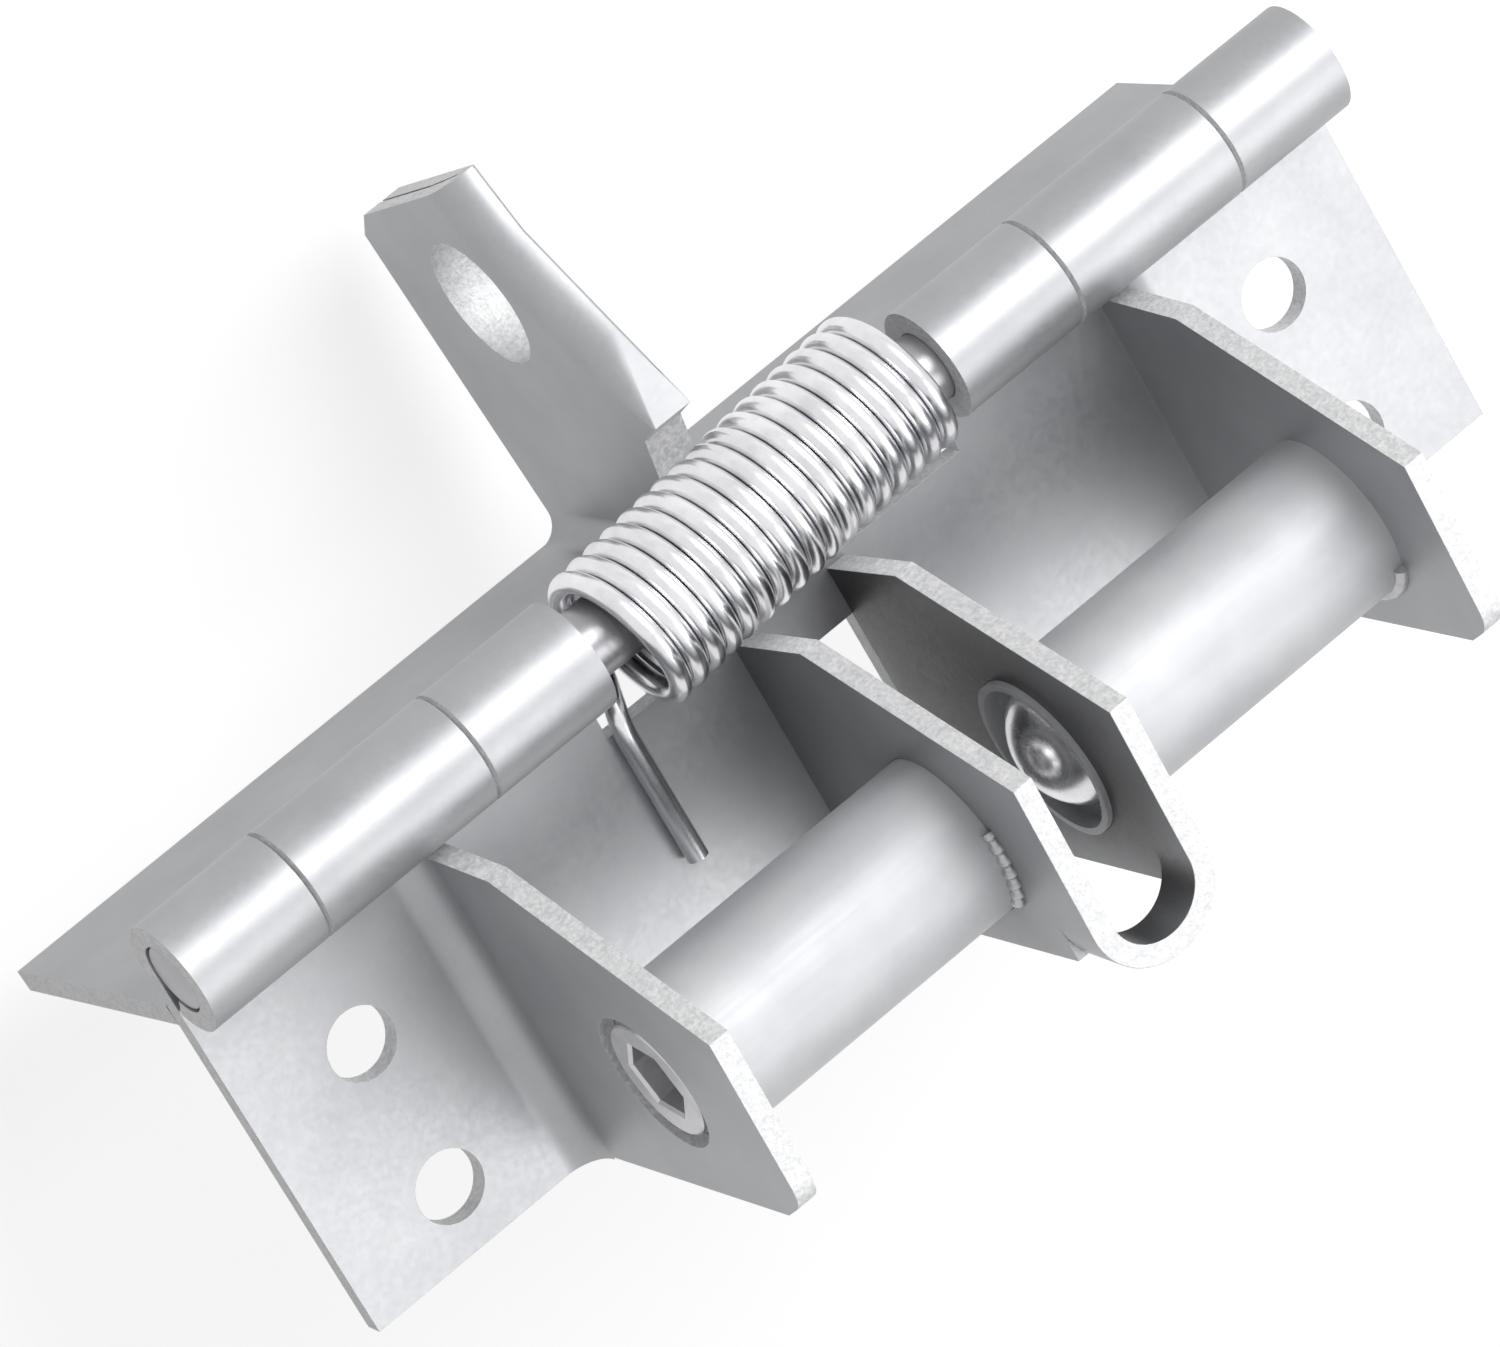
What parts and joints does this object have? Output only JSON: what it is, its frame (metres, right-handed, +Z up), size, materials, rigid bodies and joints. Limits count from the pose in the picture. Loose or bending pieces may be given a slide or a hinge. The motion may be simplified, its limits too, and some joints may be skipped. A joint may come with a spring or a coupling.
{
  "type": "spring loaded door hinge",
  "caption": "Sprung butt hinge: a torsion spring on the pin drives the leaves back, and domed spring plungers in a folded yoke catch a drilled arm to hold it open.",
  "frame": {"origin": "middle of the base leaf's four screw holes, on its mounting face", "axes": "+X along the barrel, +Y from the barrel to the base leaf's outer edge, +Z up from the base leaf to the tubes"},
  "size_m": [0.1016, 0.0556, 0.0624],
  "materials": {
    "leaf_steel": "satin zinc plate on pressed steel sheet",
    "tube_steel": "bright zinc plate on drawn tube",
    "pin_steel": "turned steel",
    "plunger_steel": "turned and polished steel",
    "screw_steel": "zinc plated set screw",
    "spring_wire": "drawn spring wire, zinc plated"
  },
  "bodies": {
    "base": {"base_leaf": "leaf_steel", "yoke": "leaf_steel", "tube_left": "tube_steel", "tube_right": "tube_steel", "hinge_pin": "pin_steel", "torsion_spring": "spring_wire"},
    "swing": {"swing_leaf": "leaf_steel"},
    "plunger_left": {"plunger_left": "plunger_steel"},
    "coil_left": {"coil_left": "spring_wire"},
    "adjuster_left": {"adjuster_left": "screw_steel"},
    "plunger_right": {"plunger_right": "plunger_steel"},
    "coil_right": {"coil_right": "spring_wire"},
    "adjuster_right": {"adjuster_right": "screw_steel"}
  },
  "joints": [
    {"name": "leaf_hinge", "type": "hinge", "parent": "base", "child": "swing", "pos_m": [0, -0.01975, 0.00426], "axis": [-1, 0, 0], "range_deg": [0, 198], "stiffness_Nm_per_rad": 0.098, "springref_deg": -89.95, "deforming": ["torsion_spring"]},
    {"name": "plunger_left_slide", "type": "slide", "parent": "base", "child": "plunger_left", "axis": [1, 0, 0], "range_m": [0, 0.0022], "stiffness_N_per_m": 3800, "springref_m": -0.003, "deforming": ["coil_left"]},
    {"name": "adjuster_left_feed", "type": "slide", "parent": "base", "child": "coil_left", "axis": [-1, 0, 0], "range_m": [0, 0.003], "deforming": ["coil_left"]},
    {"name": "adjuster_left_turn", "type": "hinge", "parent": "coil_left", "child": "adjuster_left", "pos_m": [0.028, 0.00045, 0.01946], "axis": [-1, 0, 0], "range_deg": [0, 1081]},
    {"name": "plunger_right_slide", "type": "slide", "parent": "base", "child": "plunger_right", "axis": [-1, 0, 0], "range_m": [0, 0.0022], "stiffness_N_per_m": 3800, "springref_m": -0.003, "deforming": ["coil_right"]},
    {"name": "adjuster_right_feed", "type": "slide", "parent": "base", "child": "coil_right", "axis": [1, 0, 0], "range_m": [0, 0.003], "deforming": ["coil_right"]},
    {"name": "adjuster_right_turn", "type": "hinge", "parent": "coil_right", "child": "adjuster_right", "pos_m": [-0.028, 0.00045, 0.01946], "axis": [1, 0, 0], "range_deg": [0, 1081]}
  ],
  "couplings": [
    {"joint": "adjuster_left_turn", "follows": "adjuster_left_feed", "rad_per_m": 6283.2},
    {"joint": "adjuster_right_turn", "follows": "adjuster_right_feed", "rad_per_m": 6283.2}
  ]
}
